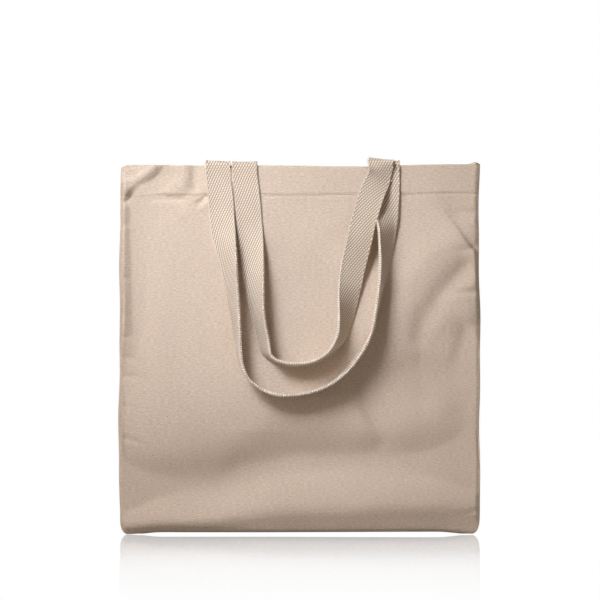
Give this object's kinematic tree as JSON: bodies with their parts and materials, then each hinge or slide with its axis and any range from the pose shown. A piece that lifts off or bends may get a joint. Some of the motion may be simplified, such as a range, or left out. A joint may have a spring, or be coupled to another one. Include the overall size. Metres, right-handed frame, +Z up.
{
  "type": "canvas tote bag",
  "caption": "Natural canvas tote bag standing upright, with a folded hem and webbing handles that hang down in front and lift for carrying.",
  "frame": {"origin": "middle of the base's underside, on the bottom seam", "axes": "+Z up through the mouth, the front panel faces -Y, +X to the right as seen from the front"},
  "size_m": [0.37, 0.0657, 0.3822],
  "materials": {
    "canvas": "matt natural cotton canvas, plain weave",
    "webbing": "matt cotton webbing, coarse twill",
    "thread": "matt cotton thread"
  },
  "bodies": {
    "bag": {"front_panel": "canvas", "back_panel": "canvas", "front_handle_tab_left": "webbing", "front_handle_tab_right": "webbing", "back_handle_tab_left": "webbing", "back_handle_tab_right": "webbing", "side_seam_stitching_left": "thread", "side_seam_stitching_right": "thread", "bottom_seam_stitching": "thread", "side_seam_overlock_left": "thread", "side_seam_overlock_right": "thread", "bottom_seam_overlock": "thread", "hem_stitching_front": "thread", "hem_stitching_back": "thread", "front_handle_stitching_left": "thread", "front_handle_stitching_right": "thread", "back_handle_stitching_left": "thread", "back_handle_stitching_right": "thread"},
    "back_handle": {"back_handle_loop": "webbing"},
    "front_handle": {"front_handle_loop": "webbing"}
  },
  "joints": [
    {"name": "back_handle_swing", "type": "hinge", "parent": "bag", "child": "back_handle", "pos_m": [0, -0.0056, 0.38], "axis": [-1, 0, 0], "range_deg": [0, 180]},
    {"name": "front_handle_swing", "type": "hinge", "parent": "bag", "child": "front_handle", "pos_m": [0, -0.0056, 0.38], "axis": [-1, 0, 0], "range_deg": [0, 180]}
  ],
  "couplings": [
    {"joint": "front_handle_swing", "follows": "back_handle_swing", "ratio": 1}
  ]
}
